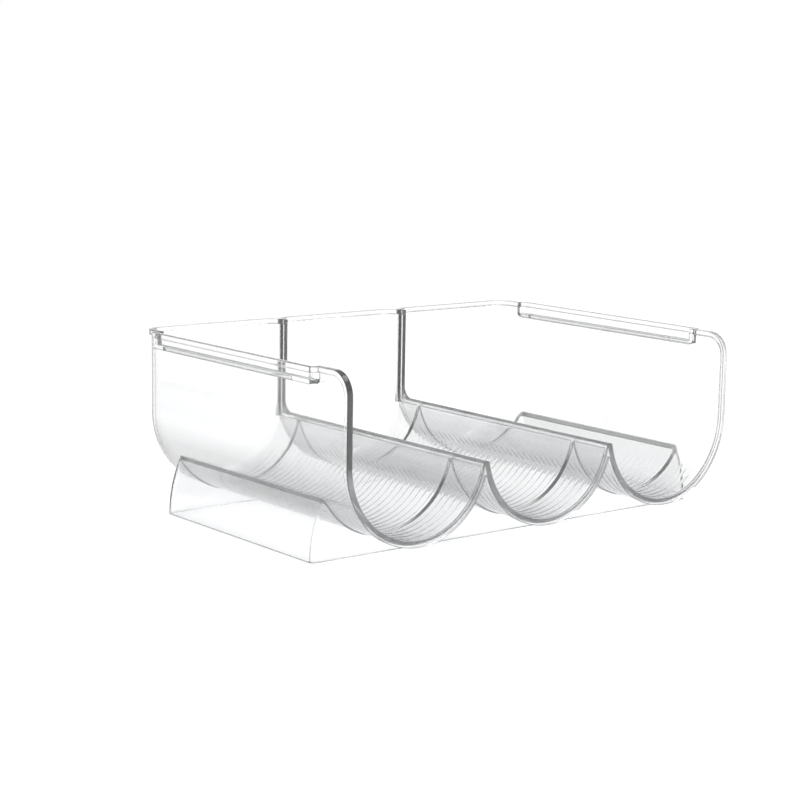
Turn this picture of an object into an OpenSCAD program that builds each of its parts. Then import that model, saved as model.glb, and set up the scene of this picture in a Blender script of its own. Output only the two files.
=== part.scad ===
// Clear bottle rack for three bottles, moulded in one piece.
// Units are millimetres.
// X runs across the rack, Y from the open front to the back wall, Z up.
// The origin is on the floor under the middle of the rack.

/* [Overall size] */

// depth from the front edge to the back face
rack_d = 203; // [196:0.5:220]
// height of the rim above the floor
rack_h = 105.5; // [98:0.5:116]
// thickness of every wall
wall = 2.1; // [1.8:0.1:2.4]

/* [Bottle channels] */

// radius of a channel's inner surface
channel_r = 45; // [42:0.1:46]
// thickness of the web between two bays, at the height of a channel's centre
web_w = 2.4; // [2:0.1:3]
// gap between the underside of a channel and the floor
floor_gap = 9.3; // [8.5:0.1:12]
// how far the top of a ridge lies below the channels' centre lines
crest_drop = 7.1; // [5:0.1:10]
// radius of the two edges along the top of a ridge
crest_round = 1.6; // [1.2:0.1:1.7]
// radius of the hollow under a ridge
root_round = 0.3; // [0.2:0.1:1.2]

/* [Back wall] */

// radius of the upright inner corners of each bay
bay_round = 9.8; // [9:0.2:12]
// radius of the groove behind an upright
groove_round = 1; // [0.6:0.1:2]
// radius of the sweep from a ridge into its upright
sweep_r = 7; // [4:0.5:9]

/* [Edges] */

// radius of the front corner on top of each side wall
front_round = 13; // [8:0.5:20]
// width of the thickened band along the rim and the front edge
band_w = 3; // [2:0.2:4]
// how far the band stands out from the wall
band_t = 1.4; // [0.8:0.1:1.6]

/* [Stacking rails] */

// how far a rail stands out from the side wall
rail_w = 5.5; // [5:0.1:8]
// distance of the rails from the front edge
rail_front = 26.2; // [24:0.2:29]
// distance of the rails from the back face
rail_back = 18; // [16:0.5:22]
// height of a rail, from its ledge's underside to the rim
rail_h = 9.4; // [7:0.1:11]
// radius of a rail's outer corners
rail_round = 3; // [2:0.2:4]
// width of the long slot in a ledge
slot_w = 1.6; // [1.2:0.1:1.8]
// distance of the slot from the rail's front end
slot_front = 19.8; // [12:0.2:30]
// distance of the slot from the rail's back end
slot_back = 11; // [8:0.5:30]

/* [Base] */

// distance of the base from the front edge
base_front = 29; // [27.5:0.5:38]
// distance of the base from the back face
base_back = 29.5; // [24.5:0.5:34]
// how far the base stands out past the side walls on the floor
base_step = 2; // [1.4:0.1:2.4]
// radius of the curved sides of the base
skirt_r = 76; // [68:0.5:90]
// radius of the base's corners
base_round = 3.6; // [3:0.2:6]

/* [Hidden] */

$fn = 96;
eps = 0.5;
front_y = -rack_d / 2;
back_y = rack_d / 2;
inner_y = back_y - band_t - wall;
pitch = 2 * channel_r + web_w;
channel_z = floor_gap + wall + channel_r;
crest_z = channel_z - crest_drop;
ridge_x = pitch / 2;
upright_half = web_w / 2;
nose_y = inner_y - bay_round;
wall_x = pitch + channel_r;
side_x = wall_x + wall;
rail_x = side_x + rail_w;
rail_band = 0.5;
lip_x = rail_x - rail_band;
rail_y0 = front_y + rail_front;
rail_y1 = back_y - rail_back;
rail_z = rack_h - rail_h;
slot_x = (side_x + lip_x - wall) / 2;
base_x = side_x + base_step;
base_y0 = front_y + base_front;
base_y1 = back_y - base_back;
skirt_x = base_x - skirt_r;

// how far the round of a hollow cuts into the walls beside it
bite = 0.02;
// distances from the round's centre to those of a channel and of a bay's corner
root_reach = channel_r + wall + root_round - bite;
groove_reach = bay_round + wall + groove_round - bite;
// centre of the hollow under a ridge
root_z = channel_z - sqrt(root_reach * root_reach - ridge_x * ridge_x);
// centre of the groove behind an upright
groove_x = upright_half + bay_round;
root_y = nose_y + sqrt(groove_reach * groove_reach - groove_x * groove_x);
// top of the base's walls, inside the ridges halfway between hollow and crest
loaf_h = (root_z + root_round + crest_z) / 2;

// bar along y with the outline drawn across the rack (x, z)
module along_y(y0, y1) {
    translate([0, y1, 0])
        rotate([90, 0, 0])
            linear_extrude(height = y1 - y0)
                children();
}

// bar along x with the outline drawn from the side (y, z)
module along_x(x0, x1) {
    translate([x0, 0, 0])
        rotate([90, 0, 90])
            linear_extrude(height = x1 - x0)
                children();
}

// one channel as a solid round bar along y with a rounded far end
module barrel(r, y0, y1, corner) {
    rotate([-90, 0, 0])
        rotate_extrude() {
            translate([0, y0])
                square([r, y1 - y0 - corner]);
            translate([0, y0])
                square([r - corner, y1 - y0]);
            intersection() {
                translate([r - corner, y1 - corner])
                    circle(r = corner);
                translate([0, y1 - corner])
                    square([r, corner]);
            }
        }
}

// the three channels, each up to the height of its own centre line
module bowls(grow, y0) {
    intersection() {
        for (i = [-1, 0, 1])
            translate([i * pitch, 0, channel_z])
                barrel(channel_r + grow, y0, inner_y + grow, bay_round + grow);
        translate([-rail_x, front_y - 5, -5])
            cube([2 * rail_x, rack_d + 10, channel_z + 5]);
    }
}

// plan of the three bays, square in front and rounded at the back
module bays_plan(grow, y0) {
    half = channel_r + grow;
    r = bay_round + grow;
    for (i = [-1, 0, 1])
        translate([i * pitch, 0]) {
            translate([-half, y0])
                square([2 * half, inner_y + grow - r - y0]);
            translate([r - half, y0])
                square([2 * (half - r), inner_y + grow - y0]);
            for (s = [-1, 1])
                translate([s * (half - r), inner_y + grow - r])
                    circle(r = r);
        }
}

// the three bays above the height of the channels' centre lines
module tops(grow, y0, z1) {
    translate([0, 0, channel_z])
        linear_extrude(height = z1 - channel_z)
            bays_plan(grow, y0);
}

// section across the rack, of the channels and the room above them
module section(grow) {
    for (i = [-1, 0, 1])
        intersection() {
            translate([i * pitch, channel_z])
                circle(r = channel_r + grow);
            translate([-rail_x, 0])
                square([2 * rail_x, channel_z]);
        }
    translate([-wall_x - grow, channel_z])
        square([2 * (wall_x + grow), rack_h - channel_z]);
}

// material between two channels, rounded over the hollow below, and
// between two bays, rounded in the groove behind their upright
module ridge_root() {
    k = (root_round + wall / 2) / root_reach;
    bx = ridge_x * k;
    bz = root_z + (channel_z - root_z) * k;
    m = (groove_round + wall / 2) / groove_reach;
    gx = groove_x * m;
    gy = root_y - (root_y - nose_y) * m;
    difference() {
        union() {
            along_y(front_y, nose_y + wall)
                polygon([[0, root_z], [bx, bz], [bx, crest_z], [-bx, crest_z], [-bx, bz]]);
            translate([0, 0, root_z])
                linear_extrude(height = rack_h - root_z)
                    polygon([[0, root_y], [-gx, gy], [-gx, nose_y + 1], [gx, nose_y + 1], [gx, gy]]);
        }
        along_y(front_y - eps, back_y + eps)
            translate([0, root_z])
                circle(r = root_round);
        translate([0, root_y, root_z - 1])
            cylinder(h = rack_h, r = groove_round);
    }
}

// sliver outside the rounded edge of a ridge top, drawn across the rack
module crest_edge() {
    reach = channel_r + crest_round;
    cz = crest_z - crest_round;
    cx = ridge_x - sqrt(reach * reach - pow(channel_z - cz, 2));
    k = channel_r / reach;
    tx = ridge_x - (ridge_x - cx) * k;
    tz = channel_z - (channel_z - cz) * k;
    difference() {
        polygon([[cx, cz], [tx, tz], [tx + 0.4, tz], [tx + 0.4, crest_z + 0.3], [cx, crest_z + 0.3]]);
        translate([cx, cz])
            circle(r = crest_round);
    }
}

// rounded edge of a ridge: along its top, round the sweep at its back
// end and up the upright of the back wall
module edge_path() {
    along_y(front_y - 2, nose_y - sweep_r)
        crest_edge();
    translate([0, nose_y - sweep_r, crest_z + sweep_r])
        rotate([90, 0, 90])
            rotate([0, 0, -90])
                rotate_extrude(angle = 90)
                    translate([crest_z + sweep_r, 0])
                        rotate(90)
                            crest_edge();
    translate([0, nose_y - crest_z, crest_z + sweep_r])
        linear_extrude(height = rack_h)
            mirror([0, 1])
                translate([0, -2 * crest_z])
                    crest_edge();
}

// open room over the ridges, with the sweep left standing at its back
module middle_room() {
    along_x(-pitch, pitch)
        difference() {
            translate([front_y - 2, crest_z])
                square([nose_y - front_y + 2, rack_h]);
            difference() {
                translate([nose_y - sweep_r, crest_z - 1])
                    square([sweep_r + 1, sweep_r + 1]);
                translate([nose_y - sweep_r, crest_z + sweep_r])
                    circle(r = sweep_r);
            }
        }
}

// everything that is cut away inside the walls
module hollow() {
    bowls(0, front_y - 2);
    tops(0, front_y - 2, rack_h + 2);
    middle_room();
    for (s = [-1, 1], m = [0, 1])
        translate([s * ridge_x, 0, 0])
            mirror([m, 0, 0])
                edge_path();
}

// round bar along y with both ends rounded
module round_bar(r, y0, y1, corner) {
    rotate([-90, 0, 0])
        rotate_extrude() {
            translate([0, y0 + corner])
                square([r, y1 - y0 - 2 * corner]);
            translate([0, y0])
                square([r - corner, y1 - y0]);
            for (y = [y0 + corner, y1 - corner])
                translate([r - corner, y])
                    intersection() {
                        circle(r = corner);
                        translate([0, -corner])
                            square([corner, 2 * corner]);
                    }
        }
}

// block with the base's outline, inset by the wall for its inside: a bar
// under each side gives the curved side and its rounded corners
module base_block(inset, z0, z1) {
    intersection() {
        union() {
            for (s = [-1, 1])
                translate([s * skirt_x, 0, 0])
                    round_bar(skirt_r - inset, base_y0 + inset, base_y1 - inset, base_round - inset);
            translate([-skirt_x, base_y0 + inset, z0 - 5])
                cube([2 * skirt_x, base_y1 - base_y0 - 2 * inset, z1 - z0 + 10]);
        }
        translate([-base_x - 5, base_y0 - 5, z0])
            cube([2 * base_x + 10, base_y1 - base_y0 + 10, z1 - z0]);
    }
}

// base ring: two curved sides and two upright cross walls
module base() {
    difference() {
        base_block(0, 0, loaf_h);
        base_block(wall, -1, loaf_h + 4);
    }
}

// plan of a rail, or of the pocket inside it
module rail_plan(x0, x1, y0, y1, r) {
    translate([x0, y0])
        square([x1 - x0 - r, y1 - y0]);
    translate([x0, y0 + r])
        square([x1 - x0, y1 - y0 - 2 * r]);
    for (y = [y0 + r, y1 - r])
        translate([x1 - r, y])
            circle(r = r);
}

// right rail as a solid block with its lower ends rounded
module rail_block() {
    r = rail_round;
    intersection() {
        union() {
            translate([0, 0, rail_z])
                linear_extrude(height = rail_h)
                    rail_plan(wall_x, lip_x, rail_y0, rail_y1, r);
            translate([0, 0, rack_h - band_w])
                linear_extrude(height = band_w)
                    rail_plan(wall_x, rail_x, rail_y0 - rail_band, rail_y1 + rail_band, r + rail_band);
        }
        along_x(wall_x, rail_x + eps) {
            translate([rail_y0 - rail_band, rail_z + r])
                square([rail_y1 - rail_y0 + 2 * rail_band, rail_h - r]);
            translate([rail_y0 + r, rail_z])
                square([rail_y1 - rail_y0 - 2 * r, rail_h]);
            for (y = [rail_y0 + r, rail_y1 - r])
                translate([y, rail_z + r])
                    circle(r = r);
        }
    }
}

// pocket in the right rail that takes the base of the rack above
module rail_pocket() {
    translate([0, 0, rail_z + wall])
        linear_extrude(height = rail_h)
            rail_plan(wall_x - eps, lip_x - wall, rail_y0 + wall, rail_y1 - wall, 1.2);
    translate([slot_x - slot_w / 2, rail_y0 + slot_front, rail_z - 1])
        cube([slot_w, rail_y1 - rail_y0 - slot_front - slot_back, wall + 2]);
}

// outside of the rack before the hollow is cut
module outside() {
    bowls(wall, front_y);
    tops(wall, front_y, rack_h);
    along_y(front_y, front_y + band_w)
        section(wall + band_t);
    translate([0, 0, rack_h - band_w])
        linear_extrude(height = band_w)
            bays_plan(wall + band_t, front_y);
    for (s = [-1, 1])
        translate([s * ridge_x, 0, 0])
            ridge_root();
    for (m = [0, 1])
        mirror([m, 0, 0]) {
            rail_block();
            along_x(side_x - 1, side_x + band_t)
                difference() {
                    translate([front_y, rack_h - front_round])
                        square(front_round);
                    translate([front_y + front_round, rack_h - front_round])
                        circle(r = front_round - band_w);
                }
        }
    base();
}

// the whole rack
module rack() {
    color([0.93, 0.95, 0.96, 0.4])
        difference() {
            outside();
            hollow();
            for (m = [0, 1])
                mirror([m, 0, 0])
                    rail_pocket();
            along_x(-rail_x, rail_x)
                difference() {
                    translate([front_y - 1, rack_h - front_round])
                        square(front_round + 1);
                    translate([front_y + front_round, rack_h - front_round])
                        circle(r = front_round);
                }
        }
}

rack();
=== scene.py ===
# %% [markdown]
# # A clear bottle rack
#
# The rack is one clear moulding. It has three half-round channels for laid
# bottles, two ridges between them, a back wall with two uprights, a ledge on
# each side wall that carries the rack above, and a base ring. This lesson
# builds it as a toolmaker would: an outside form, then an inside form that
# is cut out of it, so that every wall has its real thickness.
#
# The solids of the rack come first. They are the fixed frame that everything
# here has to fit.

# %% Load the frame
import math
import bpy
from mathutils import Matrix, Vector


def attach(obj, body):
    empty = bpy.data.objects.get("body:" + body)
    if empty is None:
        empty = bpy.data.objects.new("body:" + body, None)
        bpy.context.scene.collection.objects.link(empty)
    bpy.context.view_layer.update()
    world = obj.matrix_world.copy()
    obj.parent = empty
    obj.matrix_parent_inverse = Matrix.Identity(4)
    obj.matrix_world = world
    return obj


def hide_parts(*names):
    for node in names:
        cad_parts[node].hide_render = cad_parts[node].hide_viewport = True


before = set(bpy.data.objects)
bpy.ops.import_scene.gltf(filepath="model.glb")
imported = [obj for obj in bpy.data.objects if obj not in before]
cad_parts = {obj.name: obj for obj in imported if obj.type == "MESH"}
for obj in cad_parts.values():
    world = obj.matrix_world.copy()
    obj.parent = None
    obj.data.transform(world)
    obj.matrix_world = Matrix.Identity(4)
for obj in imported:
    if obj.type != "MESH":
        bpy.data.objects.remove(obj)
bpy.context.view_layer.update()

# %% [markdown]
# ## The camera
#
# The rack is seen from its front left corner, from a little above. Its place
# was found from the rack's own edges, so it is written as one point, one
# target and one small roll. A long lens keeps the far end nearly as large as
# the near one.

# %% The camera
eye = Vector((-0.72685, -0.88252, 0.25771))
azimuth, dip, roll = math.radians(38.435), math.radians(9.629), math.radians(0.932)
ahead = Vector((math.sin(azimuth) * math.cos(dip), math.cos(azimuth) * math.cos(dip), -math.sin(dip)))
right = Vector((math.cos(azimuth), -math.sin(azimuth), 0))
up = right.cross(ahead)
right, up = right * math.cos(roll) + up * math.sin(roll), up * math.cos(roll) - right * math.sin(roll)
camera = bpy.data.objects.new("camera", bpy.data.cameras.new("camera"))
camera.data.lens = 87.91
camera.data.sensor_width = 36
camera.data.clip_end = 20
turn = Matrix((right, up, -ahead)).transposed().to_4x4()
camera.matrix_world = Matrix.Translation(eye) @ turn
bpy.context.scene.collection.objects.link(camera)
bpy.context.scene.camera = camera
print("camera at", [round(v, 3) for v in eye], "lens", camera.data.lens)

# %% [markdown]
# ## The sizes
#
# These sizes drive the shell, in metres. The rails, the base and the ribs
# take theirs from the same list and add their own where they are made. A
# channel is a half pipe, its walls run straight up from its middle height,
# and the back of each bay is rounded to both sides.

# %% Sizes of the moulding
mm = 0.001
front_y, back_y = -101.5 * mm, 101.5 * mm
rim_z = 105.5 * mm
wall = 2.1 * mm
channel_r = 45.0 * mm
web_w = 2.4 * mm
pitch = 2 * channel_r + web_w
floor_gap, crest_drop = 9.3 * mm, 7.1 * mm
channel_z = floor_gap + wall + channel_r
crest_z = channel_z - crest_drop
crest_round = 1.6 * mm
root_round, groove_round = 0.3 * mm, 1.0 * mm
bay_round = 9.8 * mm
sweep_r = 7.0 * mm
front_round = 13.0 * mm
band_w, band_t = 3.0 * mm, 1.4 * mm
ridge_x = pitch / 2
upright_half = web_w / 2
inner_y = back_y - band_t - wall
nose_y = inner_y - bay_round
print("inner width of a channel", round(2 * channel_r / mm, 1), "mm")

# %% [markdown]
# ## Three small helpers
#
# Nearly every form in a moulding is one of two kinds: an outline pushed
# along a straight line, or an outline carried along a path. Both are a
# stack of equal rings of points, with faces between the rings and a face
# over each end. The third helper joins, cuts or trims two closed forms.

# %% Helpers for closed forms
def closed_form(name, rings):
    """A closed mesh through a stack of rings that have the same number of points."""
    count = len(rings[0])
    points = [p for ring in rings for p in ring]
    faces = []
    for level in range(len(rings) - 1):
        low, high = level * count, (level + 1) * count
        for i in range(count):
            j = (i + 1) % count
            faces.append((low + i, low + j, high + j, high + i))
    faces.append(tuple(reversed(range(count))))
    faces.append(tuple(range(len(points) - count, len(points))))
    mesh = bpy.data.meshes.new(name)
    mesh.from_pydata(points, [], faces)
    form = bpy.data.objects.new(name, mesh)
    bpy.context.scene.collection.objects.link(form)
    bpy.context.view_layer.objects.active = form
    return face_outwards(form)


def face_outwards(form):
    """Turn the faces of a closed form so that its volume is positive."""
    mesh = form.data
    mesh.calc_loop_triangles()
    volume = 0.0
    for tri in mesh.loop_triangles:
        a, b, c = (mesh.vertices[v].co for v in tri.vertices)
        volume += a.dot(b.cross(c)) / 6
    if volume < 0:
        mesh.flip_normals()
    return form


def along_y(name, outline, y0, y1):
    """An outline of (x, z) points pushed from y0 to y1."""
    return closed_form(name, [[(x, y, z) for x, z in outline] for y in (y0, y1)])


def along_x(name, outline, x0, x1):
    """An outline of (y, z) points pushed from x0 to x1."""
    return closed_form(name, [[(x, y, z) for y, z in outline] for x in (x0, x1)])


def upright(name, outline, z0, z1):
    """An outline of (x, y) points pushed from z0 to z1."""
    return closed_form(name, [[(x, y, z) for x, y in outline] for z in (z0, z1)])


def arc(cx, cy, r, start, end, steps):
    """Points on an arc, in degrees, both ends included."""
    turns = [math.radians(start + (end - start) * i / steps) for i in range(steps + 1)]
    return [(cx + r * math.cos(t), cy + r * math.sin(t)) for t in turns]


def work(body, tool, operation):
    """Join (UNION), cut (DIFFERENCE) or trim (INTERSECT) body with tool, which is used up."""
    step = body.modifiers.new("step", "BOOLEAN")
    step.operation = operation
    step.solver = "MANIFOLD"
    step.object = tool
    ready = bpy.context.evaluated_depsgraph_get()
    result = bpy.data.meshes.new_from_object(body.evaluated_get(ready))
    body.modifiers.clear()
    worn = body.data
    body.data = result
    bpy.data.meshes.remove(worn)
    bpy.data.objects.remove(tool)
    return body

# %% [markdown]
# ## A bottle bay
#
# One bay is a U on end: half a pipe below, straight sides above. Towards
# the back its width shrinks round a quarter circle, and that one rule gives
# the rounded upright corners and the rounded bottom corner at once. Lofting
# the U through those widths keeps all its faces in clean rows, which matters
# on clear plastic, where each crooked face would show as a kink.

# %% Bays: outside and inside
arc_steps = 72
corner_steps = 14


def bay(name, centre_x, grow, y_start, z_top):
    """One bay as a closed block, grown by the wall for the outside."""
    corner = bay_round + grow
    widths = [(y_start, channel_r + grow)]
    for i in range(corner_steps + 1):
        t = math.radians(90 * i / corner_steps)
        widths.append((nose_y + corner * math.sin(t), channel_r - bay_round + corner * math.cos(t)))
    rings = []
    for y, half in widths:
        ring = [(centre_x - half, y, z_top)]
        ring += [(centre_x + x, y, z) for x, z in arc(0, channel_z, half, 180, 360, arc_steps)]
        ring += [(centre_x + half, y, z_top)]
        rings.append(ring)
    return closed_form(name, rings)


rack = bay("bottle_rack", -pitch, wall, front_y, rim_z)
for centre in (0, pitch):
    work(rack, bay("outside", centre, wall, front_y, rim_z), "UNION")
print("outside of three bays:", len(rack.data.polygons), "faces")

# %% [markdown]
# ## The thickened rim and front edge
#
# A clear moulding needs a stiff rim. The wall is a little thicker in a band
# along the whole upper edge and round the scalloped front edge, on the
# outside only. The step of that band is the second fine line that runs
# beside each edge.

# %% Bands along the rim and the front
def bay_outline(centre_x, grow):
    """Plan of a bay: square in front, rounded at the back."""
    half, corner = channel_r + grow, bay_round + grow
    back = arc(half - corner, nose_y, corner, 0, 90, corner_steps)
    back += [(-x, y) for x, y in reversed(back)]
    return [(centre_x + x, y) for x, y in [(-half, front_y), (half, front_y)] + back]


def bay_section(centre_x, half, z_top):
    """Section of a bay across the rack: half a circle with straight sides."""
    points = [(-half, z_top)] + arc(0, channel_z, half, 180, 360, arc_steps) + [(half, z_top)]
    return [(centre_x + x, z) for x, z in points]


for centre in (-pitch, 0, pitch):
    rim = upright("rim", bay_outline(centre, wall + band_t), rim_z - band_w, rim_z)
    work(rack, rim, "UNION")
    lip = along_y("lip", bay_section(centre, channel_r + wall + band_t, rim_z), front_y, front_y + band_w)
    work(rack, lip, "UNION")
print("with rim and front band:", len(rack.data.polygons), "faces")

# %% [markdown]
# ## The band round the front corners
#
# The side walls end in a rounded corner at the front. The band follows that
# corner, so it is a square with a smaller quarter circle cut out of it.

# %% Front corner bands
corner_y, corner_z = front_y + front_round, rim_z - front_round
for side in (-1, 1):
    outline = [(front_y, corner_z), (front_y, rim_z), (corner_y, rim_z)]
    outline += arc(corner_y, corner_z, front_round - band_w, 90, 180, 20)
    outer_x = side * (pitch + channel_r + wall)
    patch = along_x("front_corner", outline, outer_x - side * mm, outer_x + side * band_t)
    work(rack, patch, "UNION")

# %% [markdown]
# ## Under the ridges and behind the uprights
#
# Where two channels meet, their walls run into each other. The mould's core
# has no sharp edge there, so the hollow below a ridge and the groove behind
# an upright end in a small round. The filling is a wedge that reaches into
# both walls, and the round is cut out of it. The round bites a hair into
# the walls, so that the two surfaces cross instead of only touching.

# %% Roots of ridges and uprights
bite = 0.02 * mm
root_reach = channel_r + wall + root_round - bite
root_z = channel_z - math.sqrt(root_reach ** 2 - ridge_x ** 2)
groove_reach = bay_round + wall + groove_round - bite
groove_x = upright_half + bay_round
groove_y = nose_y + math.sqrt(groove_reach ** 2 - groove_x ** 2)


def ridge_filling(x):
    """The wedge of plastic between two channels and between two bays."""
    part = (root_round + wall / 2) / root_reach
    wx, wz = ridge_x * part, root_z + (channel_z - root_z) * part
    wedge = [(x, root_z), (x + wx, wz), (x + wx, crest_z), (x - wx, crest_z), (x - wx, wz)]
    filling = along_y("filling", wedge, front_y, nose_y + wall)
    part = (groove_round + wall / 2) / groove_reach
    gx, gy = groove_x * part, groove_y - (groove_y - nose_y) * part
    plan = [(x, groove_y), (x - gx, gy), (x - gx, nose_y + mm), (x + gx, nose_y + mm), (x + gx, gy)]
    work(filling, upright("post", plan, root_z, rim_z), "UNION")
    rod = [(x + px, root_z + pz) for px, pz in arc(0, 0, root_round, 0, 345, 23)]
    work(filling, along_y("rod", rod, front_y - mm, back_y + mm), "DIFFERENCE")
    rod = [(x + px, groove_y + py) for px, py in arc(0, 0, groove_round, 0, 345, 23)]
    work(filling, upright("rod", rod, root_z - mm, rim_z + mm), "DIFFERENCE")
    return filling


for side in (-1, 1):
    work(rack, ridge_filling(side * ridge_x), "UNION")
print("with ridge roots:", len(rack.data.polygons), "faces")

# %% [markdown]
# ## The stacking ledges
#
# Each side wall carries a rail: a shallow trough whose floor is the ledge
# for the rack above and whose outer lip keeps that rack from sliding off.
# Seen from outside it is a box with rounded lower ends, trimmed here from a
# plan and a side outline. The trough and the long slot through its floor
# are cut later, with the rest of the inside.

# %% Rails
rail_x, lip_x = 145.0 * mm, 144.5 * mm
rail_front, rail_back, rail_h = 26.2 * mm, 18 * mm, 9.4 * mm
rail_y0, rail_y1 = front_y + rail_front, back_y - rail_back
rail_z = rim_z - rail_h
rail_round, rail_step = 3.0 * mm, 0.5 * mm
wall_x = pitch + channel_r


def rail_plan(side, x0, x1, y0, y1, r):
    """Plan of a rail: two rounded corners on the outer side."""
    points = [(x0, y0)] + arc(x1 - r, y0 + r, r, -90, 0, 10)
    points += arc(x1 - r, y1 - r, r, 0, 90, 10) + [(x0, y1)]
    return [(side * x, y) for x, y in points]


for side in (-1, 1):
    rail = upright("rail", rail_plan(side, wall_x + mm, lip_x, rail_y0, rail_y1, rail_round), rail_z, rim_z)
    low_y, high_y = rail_y0 - rail_step, rail_y1 + rail_step
    edge = rail_plan(side, wall_x + mm, rail_x, low_y, high_y, rail_round + rail_step)
    work(rail, upright("rail_edge", edge, rim_z - band_w, rim_z), "UNION")
    r = rail_round
    step_z = rail_z + r + 2 * mm
    outline = [(low_y, rim_z + mm), (low_y, step_z), (rail_y0, step_z)]
    outline += arc(rail_y0 + r, rail_z + r, r, 180, 270, 10)
    outline += arc(rail_y1 - r, rail_z + r, r, 270, 360, 10)
    outline += [(rail_y1, step_z), (high_y, step_z), (high_y, rim_z + mm)]
    work(rail, along_x("rail_side", outline, side * wall_x, side * (rail_x + mm)), "INTERSECT")
    work(rack, rail, "UNION")
print("with rails:", len(rack.data.polygons), "faces")

# %% [markdown]
# ## The base ring
#
# The rack stands on a ring of four walls. The two side walls are curved
# skirts that meet the floor upright and lean in until they touch the outer
# channels. The front and back walls are flat and fill the space up to the
# channels. A thick block with the skirts' outline is made first, and the
# same outline, one wall smaller, is taken out of it before it is joined.

# %% Base ring
base_front, base_back, base_step = 29 * mm, 29.5 * mm, 2 * mm
base_y0, base_y1 = front_y + base_front, back_y - base_back
base_x = pitch + channel_r + wall + base_step
skirt_r, base_round = 76 * mm, 3.6 * mm


def base_outline(r, z_low, z_top):
    """Section of the base across the rack, with one skirt of radius r on each side."""
    centre = base_x - skirt_r
    flank = arc(centre, 0, r, 0, math.degrees(math.asin(z_top / r)), 32)
    skirt = [(flank[0][0], z_low)] * (z_low < 0) + flank
    return skirt + [(-x, z) for x, z in reversed(skirt)]


def base_block(name, inset, z_low, z_top):
    """A block with the base's outline and rounded upright corners."""
    corner = base_round - inset
    rows = []
    for i in range(11):
        t = math.radians(9 * i)
        rows.append((corner * (1 - math.cos(t)), skirt_r - inset - corner * (1 - math.sin(t))))
    rings = [(base_y0 + inset + dy, r) for dy, r in rows]
    rings += [(base_y1 - inset - dy, r) for dy, r in reversed(rows)]
    return closed_form(name, [[(x, y, z) for x, z in base_outline(r, z_low, z_top)] for y, r in rings])


base_top = (root_z + root_round + crest_z) / 2
base = base_block("base_ring", 0, 0, base_top)
work(base, base_block("base_room", wall, -mm, base_top + 4 * mm), "DIFFERENCE")
work(rack, base, "UNION")
print("with base ring:", len(rack.data.polygons), "faces")

# %% [markdown]
# ## Cutting the inside
#
# Now the inside form comes out: three bays without the wall, and the room
# over the ridges. A ridge ends at the back in a sweep that turns up into
# the upright between two bays.

# %% Inside of the bays and the room over the ridges
for centre in (-pitch, 0, pitch):
    work(rack, bay("inside", centre, 0, front_y - 2 * mm, rim_z + 2 * mm), "DIFFERENCE")

sweep_y, sweep_z = nose_y - sweep_r, crest_z + sweep_r
room = [(front_y - 2 * mm, rim_z + 4 * mm), (front_y - 2 * mm, crest_z)]
room += arc(sweep_y, sweep_z, sweep_r, 270, 360, 18) + [(nose_y, rim_z + 4 * mm)]
work(rack, along_x("room", room, -pitch, pitch), "DIFFERENCE")
print("after the inside is cut:", len(rack.data.polygons), "faces")

# %% [markdown]
# ## Rounded ridge tops
#
# The two edges along a ridge are rounded, and so are those of the uprights
# above it. What has to go is a thin sliver outside the round. It is carried
# along the ridge, round the sweep and up the upright as one form.

# %% Rounded edges of ridges and uprights
reach = channel_r + crest_round
low = crest_z - crest_round
round_x = ridge_x - math.sqrt(reach ** 2 - (channel_z - low) ** 2)
share = channel_r / reach
flank_x = ridge_x - (ridge_x - round_x) * share
flank_z = channel_z - (channel_z - low) * share
start = math.degrees(math.atan2(flank_z - low, flank_x - round_x))
sliver = arc(round_x, -crest_round, crest_round, start, 90, 12)
sliver += [(round_x, 0.3 * mm), (flank_x + 0.4 * mm, 0.3 * mm), (flank_x + 0.4 * mm, flank_z - crest_z)]


def on_path(turned, h):
    """Place of a sliver's point, h above the crest, at an angle round the sweep."""
    t = math.radians(turned)
    return sweep_y + (sweep_r - h) * math.sin(t), sweep_z - (sweep_r - h) * math.cos(t)


for side in (-1, 1):
    for hand in (-1, 1):
        rings = [[(side * ridge_x + hand * x, front_y - mm, crest_z + h) for x, h in sliver]]
        for i in range(19):
            rings.append([(side * ridge_x + hand * x, *on_path(5 * i, h)) for x, h in sliver])
        rings.append([(side * ridge_x + hand * x, nose_y - h, rim_z + mm) for x, h in sliver])
        work(rack, closed_form("sliver", rings), "DIFFERENCE")
print("with rounded ridges:", len(rack.data.polygons), "faces")

# %% [markdown]
# ## Troughs, slots and front corners
#
# The last cuts are the troughs of the two rails with the long slot in each
# floor, and the rounded upper corner at the front of both side walls.

# %% Rail troughs, slots and front corners
slot_x = (wall_x + lip_x) / 2
slot_half, slot_front, slot_back = 0.8 * mm, 19.8 * mm, 11 * mm
trough_round = 1.2 * mm
for side in (-1, 1):
    trough_y = rail_y0 + wall, rail_y1 - wall
    trough = rail_plan(side, wall_x - 0.5 * mm, lip_x - wall, *trough_y, trough_round)
    work(rack, upright("trough", trough, rail_z + wall, rim_z + mm), "DIFFERENCE")
    y0, y1 = rail_y0 + slot_front, rail_y1 - slot_back
    x0, x1 = side * slot_x - slot_half, side * slot_x + slot_half
    plan = [(x0, y0), (x1, y0), (x1, y1), (x0, y1)]
    work(rack, upright("slot", plan, rail_z - mm, rail_z + wall + mm), "DIFFERENCE")

outline = [(front_y - mm, corner_z), (front_y - mm, rim_z + mm), (corner_y, rim_z + mm)]
outline += arc(corner_y, corner_z, front_round, 90, 180, 28)
work(rack, along_x("corner_cut", outline, -rail_x - mm, rail_x + mm), "DIFFERENCE")
print("with troughs and corners:", len(rack.data.polygons), "faces")

# %% [markdown]
# ## Grip ribs
#
# Fine ribs run across the floor of every channel, so that a bottle does not
# turn or slide. They are very low and soft, a fifth of a millimetre high,
# and show only as faint dashes where they bend the light. Each fades out
# into the channel's flank, lower on the outer sides than beside a ridge.

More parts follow.
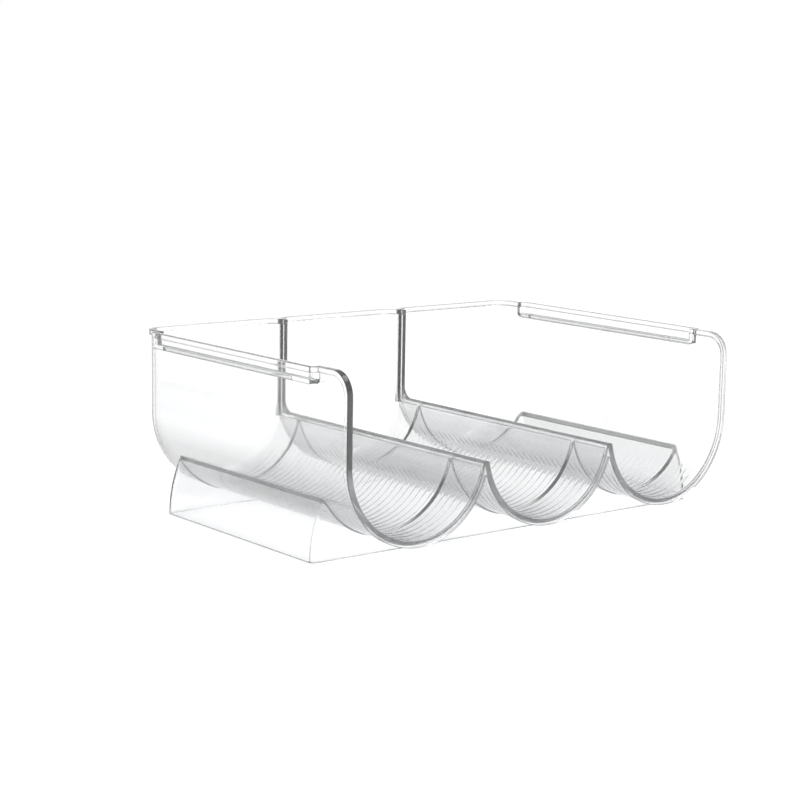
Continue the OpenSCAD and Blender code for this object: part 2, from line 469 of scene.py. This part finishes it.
# %% Grip ribs
rib_pitch, rib_h, rib_w = 5.0 * mm, 0.2 * mm, 2.4 * mm
rib_first, rib_last, rib_depth = 8 * mm, 4 * mm, 0.5 * mm
foot = 0.03 * mm
outer_end, ridge_end, fade, rib_turn = 52.5, 60.0, 12.5, 2.5
hump = [(-rib_w / 2, None)]
for i in range(13):
    hump.append((-rib_w / 2 + rib_w * i / 12, (1 - math.cos(math.pi * i / 6)) / 2))
hump.append((rib_w / 2, None))
rib_count = int((nose_y - front_y - rib_first - rib_last) / rib_pitch) + 1


def rib_rings(centre_x, y, start, end):
    """Rings of a rib round its channel, between two angles from the lowest line."""
    rings = []
    for i in range(round((end - start) / rib_turn) + 1):
        angle = start + rib_turn * i
        level = min(1.0, (angle - start) / fade, (end - angle) / fade)
        level = level * level * (3 - 2 * level)
        t = math.radians(angle)
        ring = []
        for dy, shape in hump:
            h = -rib_depth if shape is None else (rib_h + foot) * shape * level - foot
            r = channel_r - h
            ring.append((centre_x + r * math.sin(t), y + dy, channel_z - r * math.cos(t)))
        rings.append(ring)
    return rings


for centre in (-1, 0, 1):
    start = -outer_end if centre == -1 else -ridge_end
    end = outer_end if centre == 1 else ridge_end
    for n in range(rib_count):
        rings = rib_rings(centre * pitch, front_y + rib_first + n * rib_pitch, start, end)
        work(rack, closed_form("rib", rings), "UNION")
print(3 * rib_count, "ribs; faces now", len(rack.data.polygons))

# %% [markdown]
# ## Smooth faces and crisp edges
#
# The curved walls are fine strips, and shading them smooth hides the strips.
# Edges that turn by more than 30 degrees stay sharp. Weighted normals keep
# the large flat walls flat where they run into a curve.

# %% Shading of the moulding
for face in rack.data.polygons:
    face.use_smooth = True
rack.data.set_sharp_from_angle(angle=math.radians(30))
weigh = rack.modifiers.new("weigh", "WEIGHTED_NORMAL")
weigh.keep_sharp = True
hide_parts("rack")
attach(rack, "root")
rack.data.calc_loop_triangles()
print("triangles:", len(rack.data.loop_triangles))

# %% [markdown]
# ## Clear plastic
#
# The plastic is water-clear and glossy, as clear styrene is. It bends light
# like the real one, with an index of 1.57. The tint and the roughness drift
# a little from place to place, as the flow in a mould leaves them. Light
# that runs a long way inside a wall is faintly taken up.

# %% Body of the plastic
plastic = bpy.data.materials.new("clear_plastic")
plastic.use_nodes = True
nodes, links = plastic.node_tree.nodes, plastic.node_tree.links
nodes.clear()
out = nodes.new("ShaderNodeOutputMaterial")
clear = nodes.new("ShaderNodeBsdfPrincipled")
clear.inputs["Transmission Weight"].default_value = 1.0
clear.inputs["IOR"].default_value = 1.57
place = nodes.new("ShaderNodeTexCoord")
drift = nodes.new("ShaderNodeTexNoise")
drift.inputs["Scale"].default_value = 18
drift.inputs["Detail"].default_value = 3
links.new(place.outputs["Object"], drift.inputs["Vector"])
haze = nodes.new("ShaderNodeMapRange")
haze.inputs["To Min"].default_value = 0.01
haze.inputs["To Max"].default_value = 0.04
links.new(drift.outputs["Fac"], haze.inputs["Value"])
links.new(haze.outputs["Result"], clear.inputs["Roughness"])
tint = nodes.new("ShaderNodeValToRGB")
tint.color_ramp.elements[0].color = (0.975, 0.98, 0.985, 1)
tint.color_ramp.elements[1].color = (1, 1, 1, 1)
links.new(drift.outputs["Fac"], tint.inputs["Fac"])
inside = nodes.new("ShaderNodeVolumeAbsorption")
inside.inputs["Color"].default_value = (0.5, 0.52, 0.54, 1)
inside.inputs["Density"].default_value = 8
links.new(inside.outputs[0], out.inputs["Volume"])
print("index", round(clear.inputs["IOR"].default_value, 2), "roughness 0.01 to 0.04")

# %% [markdown]
# ## Painted grey outlines
#
# A clear wall seen at a glance bends the dim parts of a room into view, so
# the real rack shows soft grey outlines. Here that shade is painted: a ramp
# over the angle of view darkens the plastic's colour there. Channels and tops
# that lie flat are always seen at a glance from table height, so they take
# only a small part of the painted shade.

# %% Painted shade at a glance
facing = nodes.new("ShaderNodeLayerWeight")
facing.inputs["Blend"].default_value = 0.5
# painted shade: the plastic's colour goes nearly black towards the outline, by the angle of view
glance_shade = nodes.new("ShaderNodeValToRGB")
glance_shade.color_ramp.elements[0].position = 0.42
glance_shade.color_ramp.elements[0].color = (1, 1, 1, 1)
glance_shade.color_ramp.elements[1].position = 0.8
glance_shade.color_ramp.elements[1].color = (0.03, 0.03, 0.035, 1)
links.new(facing.outputs["Facing"], glance_shade.inputs["Fac"])
lie = nodes.new("ShaderNodeNewGeometry")
lie_z = nodes.new("ShaderNodeSeparateXYZ")
links.new(lie.outputs["True Normal"], lie_z.inputs["Vector"])
flatness = nodes.new("ShaderNodeMath")
flatness.operation = "ABSOLUTE"
links.new(lie_z.outputs["Z"], flatness.inputs[0])
stands = nodes.new("ShaderNodeMapRange")
stands.inputs["From Min"].default_value = 0.35
stands.inputs["From Max"].default_value = 0.8
stands.inputs["To Min"].default_value = 1.0
stands.inputs["To Max"].default_value = 0.12
links.new(flatness.outputs[0], stands.inputs["Value"])
shade = nodes.new("ShaderNodeMix")
shade.data_type = "RGBA"
shade.blend_type = "MULTIPLY"
links.new(stands.outputs["Result"], shade.inputs["Factor"])
links.new(tint.outputs["Color"], shade.inputs["A"])
links.new(glance_shade.outputs["Color"], shade.inputs["B"])
ends = [round(e.position, 2) for e in glance_shade.color_ramp.elements]
print("outline tint between", ends)

# %% [markdown]
# ## Edge lines
#
# No moulded edge is quite sharp. Its small radius throws light aside and
# shows as a fine grey line, and that is how the clear rims and rails are
# seen at all. The shader rounds the normal over the last millimetre, which
# bends the light there. Where that normal turns away from its face, the
# colour is darkened as well, a painted shade that draws the grey line.
# Rounding the mesh itself would eat into the thin webs, and the line would
# look the same.

# %% Rounded edges
edge = nodes.new("ShaderNodeBevel")
edge.samples = 8
edge.inputs["Radius"].default_value = 0.0012
turn = nodes.new("ShaderNodeVectorMath")
turn.operation = "DOT_PRODUCT"
links.new(edge.outputs["Normal"], turn.inputs[0])
links.new(lie.outputs["Normal"], turn.inputs[1])
edge_shade_mask = nodes.new("ShaderNodeMapRange")
edge_shade_mask.inputs["From Min"].default_value = 0.995
edge_shade_mask.inputs["From Max"].default_value = 0.8
links.new(turn.outputs["Value"], edge_shade_mask.inputs["Value"])
# painted shade: the plastic's colour is multiplied down to dark grey along the edges
line = nodes.new("ShaderNodeMix")
line.data_type = "RGBA"
line.blend_type = "MULTIPLY"
line.inputs["B"].default_value = (0.12, 0.12, 0.122, 1)
links.new(edge_shade_mask.outputs["Result"], line.inputs["Factor"])
links.new(shade.outputs["Result"], line.inputs["A"])
links.new(line.outputs["Result"], clear.inputs["Base Color"])
flow = nodes.new("ShaderNodeBump")
flow.inputs["Strength"].default_value = 0.02
flow.inputs["Distance"].default_value = 0.001
links.new(drift.outputs["Fac"], flow.inputs["Height"])
links.new(edge.outputs["Normal"], flow.inputs["Normal"])
links.new(flow.outputs["Normal"], clear.inputs["Normal"])
print("edge radius in mm:", round(edge.inputs["Radius"].default_value * 1000, 2))

# %% [markdown]
# ## Light through the plastic
#
# Light caught between two faces of a clear wall gets out further on, and the
# real edges are grey instead of black. A small share that passes straight
# through stands for it. It is larger on sloping faces, where webs and
# channels lie close behind one another, and nearly nothing on upright walls.
# Lamps reach through the plastic, so its shadow is pale.

# %% Straight share and pale shadow
straight = nodes.new("ShaderNodeBsdfTransparent")
straight.inputs["Color"].default_value = (0.88, 0.885, 0.89, 1)
share = nodes.new("ShaderNodeMapRange")
share.inputs["From Min"].default_value = 0.05
share.inputs["From Max"].default_value = 0.3
share.inputs["To Min"].default_value = 0.02
share.inputs["To Max"].default_value = 0.11
links.new(flatness.outputs[0], share.inputs["Value"])
body = nodes.new("ShaderNodeMixShader")
links.new(share.outputs["Result"], body.inputs[0])
links.new(clear.outputs[0], body.inputs[1])
links.new(straight.outputs[0], body.inputs[2])
let_through = nodes.new("ShaderNodeBsdfTransparent")
let_through.inputs["Color"].default_value = (0.93, 0.935, 0.94, 1)
path = nodes.new("ShaderNodeLightPath")
choose = nodes.new("ShaderNodeMixShader")
links.new(path.outputs["Is Shadow Ray"], choose.inputs[0])
links.new(body.outputs[0], choose.inputs[1])
links.new(let_through.outputs[0], choose.inputs[2])
links.new(choose.outputs[0], out.inputs["Surface"])
rack.data.materials.clear()
rack.data.materials.append(plastic)
print("clear plastic ready:", len(nodes), "nodes")

# %% [markdown]
# ## The white ground and the light
#
# The rack stands on a white sweep that shows pure white. The floor is plain
# white paint plus a little glow, so that open floor reaches full white and
# the rack's pale shadow still shows. The glow is there for the eye and for
# what the plastic mirrors and bends, and adds no light to the rack. The room
# makes the same choice between rays, so one helper serves both.

# %% Rays that look at something
def looked_at(nodes, links):
    """1 for rays from the eye and for those that plastic mirrors or bends, else 0."""
    path = nodes.new("ShaderNodeLightPath")
    seen = path.outputs["Is Camera Ray"]
    for kind in ("Is Glossy Ray", "Is Transmission Ray"):
        either = nodes.new("ShaderNodeMath")
        either.operation = "MAXIMUM"
        links.new(seen, either.inputs[0])
        links.new(path.outputs[kind], either.inputs[1])
        seen = either.outputs[0]
    return seen


# %% Floor
floor_mesh = bpy.data.meshes.new("floor")
reach = 12
corners = [(-reach, -reach, 0), (reach, -reach, 0), (reach, reach, 0), (-reach, reach, 0)]
floor_mesh.from_pydata(corners, [], [(0, 1, 2, 3)])
floor = bpy.data.objects.new("floor", floor_mesh)
bpy.context.scene.collection.objects.link(floor)
paint = bpy.data.materials.new("floor_white")
paint.use_nodes = True
nodes, links = paint.node_tree.nodes, paint.node_tree.links
nodes.clear()
out = nodes.new("ShaderNodeOutputMaterial")
matt = nodes.new("ShaderNodeBsdfDiffuse")
matt.inputs["Color"].default_value = (0.85, 0.85, 0.85, 1)
glow = nodes.new("ShaderNodeEmission")
amount = nodes.new("ShaderNodeMath")
amount.operation = "MULTIPLY"
amount.inputs[1].default_value = 0.35
links.new(looked_at(nodes, links), amount.inputs[0])
links.new(amount.outputs[0], glow.inputs["Strength"])
both = nodes.new("ShaderNodeAddShader")
links.new(matt.outputs[0], both.inputs[0])
links.new(glow.outputs[0], both.inputs[1])
links.new(both.outputs[0], out.inputs["Surface"])
floor.data.materials.append(paint)
print("floor", 2 * reach, "m wide, glow", round(amount.inputs[1].default_value, 2))

# %% [markdown]
# ## The room round the rack
#
# The room is pure white all round the horizon, where the picture looks, and
# has a dim grey ceiling with a bright patch overhead. The eye, the mirrored
# light and the bent light all see this one room. Clear plastic has no colour
# of its own, so its edges are drawn by the ceiling that they bend into view.
# Matt surfaces are lit by an even room.

# %% World
world = bpy.data.worlds.new("studio")
bpy.context.scene.world = world
world.use_nodes = True
nodes, links = world.node_tree.nodes, world.node_tree.links
nodes.clear()
out = nodes.new("ShaderNodeOutputWorld")
room_light = nodes.new("ShaderNodeBackground")
room_light.inputs["Color"].default_value = (0.8, 0.8, 0.8, 1)
way = nodes.new("ShaderNodeTexCoord")
height = nodes.new("ShaderNodeSeparateXYZ")
links.new(way.outputs["Generated"], height.inputs["Vector"])
ceiling = nodes.new("ShaderNodeValToRGB")
ceiling.color_ramp.elements[0].position = 0.17
ceiling.color_ramp.elements[0].color = (1, 1, 1, 1)
ceiling.color_ramp.elements[1].position = 0.27
ceiling_grey = (0.47, 0.475, 0.48, 1)
ceiling.color_ramp.elements[1].color = ceiling_grey
lamp_side = ceiling.color_ramp.elements.new(0.78)
lamp_side.color = ceiling_grey
overhead = ceiling.color_ramp.elements.new(0.9)
overhead.color = (1, 1, 1, 1)
links.new(height.outputs["Z"], ceiling.inputs["Fac"])
room_seen = nodes.new("ShaderNodeBackground")
links.new(ceiling.outputs["Color"], room_seen.inputs["Color"])
room = nodes.new("ShaderNodeMixShader")
links.new(looked_at(nodes, links), room.inputs[0])
links.new(room_light.outputs[0], room.inputs[1])
links.new(room_seen.outputs[0], room.inputs[2])
links.new(room.outputs[0], out.inputs["Surface"])
white_to = ceiling.color_ramp.elements[0].position
print("room: white up to", round(math.degrees(math.asin(white_to)), 1), "degrees, grey above")

# %% [markdown]
# ## The lamp
#
# One soft lamp above, turned low, gives the pale shadow on the floor. The
# room does the rest of the lighting, at a plain level.

# %% Lamp
def soft_lamp(name, place, size, power):
    """A square soft lamp that looks at the rack."""
    lamp = bpy.data.objects.new(name, bpy.data.lights.new(name, "AREA"))
    lamp.data.size = size
    lamp.data.energy = power
    lamp.location = place
    aim = Vector((0, 0, 0.05)) - Vector(place)
    lamp.rotation_euler = aim.to_track_quat("-Z", "Y").to_euler()
    bpy.context.scene.collection.objects.link(lamp)
    return lamp


soft_lamp("lamp_above", (0.5, -0.2, 1.4), 0.8, 6)
bpy.context.scene.view_settings.view_transform = "Standard"
print("one lamp, view transform", bpy.context.scene.view_settings.view_transform)
